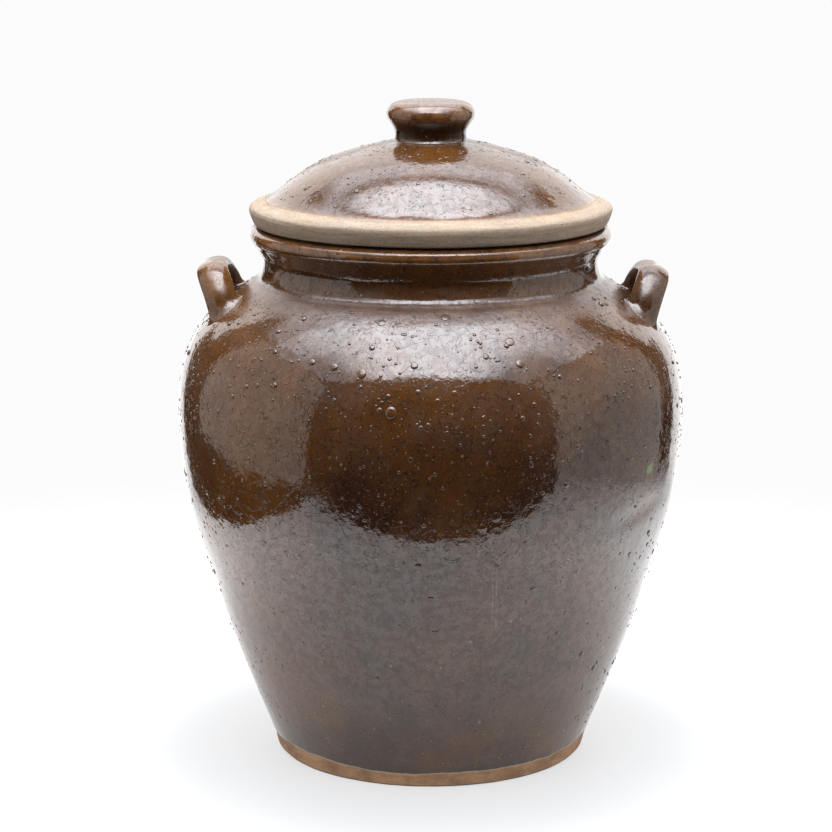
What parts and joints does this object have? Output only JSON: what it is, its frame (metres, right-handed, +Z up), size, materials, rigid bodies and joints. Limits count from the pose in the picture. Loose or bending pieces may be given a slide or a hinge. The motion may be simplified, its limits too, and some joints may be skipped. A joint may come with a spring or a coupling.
{
  "type": "fermenting crock",
  "caption": "Tall glazed stoneware fermenting crock with lug handles, a domed knobbed lid resting on its rim, and half-moon weights inside.",
  "frame": {"origin": "centre of the foot, on the surface that the crock stands on", "axes": "+Z up along the jar's turning axis; the two lugs stand on the X axis; -Y is the front"},
  "size_m": [0.3068, 0.3068, 0.3985],
  "materials": {
    "glaze": "glossy dark brown glaze, bare buff clay on the lid's flange and the foot",
    "bare_clay": "unglazed matt stoneware"
  },
  "bodies": {
    "crock": {"crock_body": "glaze", "lug_handle_left": "glaze", "lug_handle_right": "glaze"},
    "lid": {"lid": "glaze", "lid_knob": "glaze"},
    "weight_left": {"weight_half_left": "bare_clay"},
    "weight_right": {"weight_half_right": "bare_clay"}
  },
  "joints": [
    {"name": "lid_lift", "type": "slide", "parent": "crock", "child": "lid", "axis": [0, 0, 1], "range_m": [0, 0.12]},
    {"name": "weight_left_lift", "type": "slide", "parent": "crock", "child": "weight_left", "axis": [0, 0, 1], "range_m": [0, 0.22]},
    {"name": "weight_right_lift", "type": "slide", "parent": "crock", "child": "weight_right", "axis": [0, 0, 1], "range_m": [0, 0.22]}
  ]
}
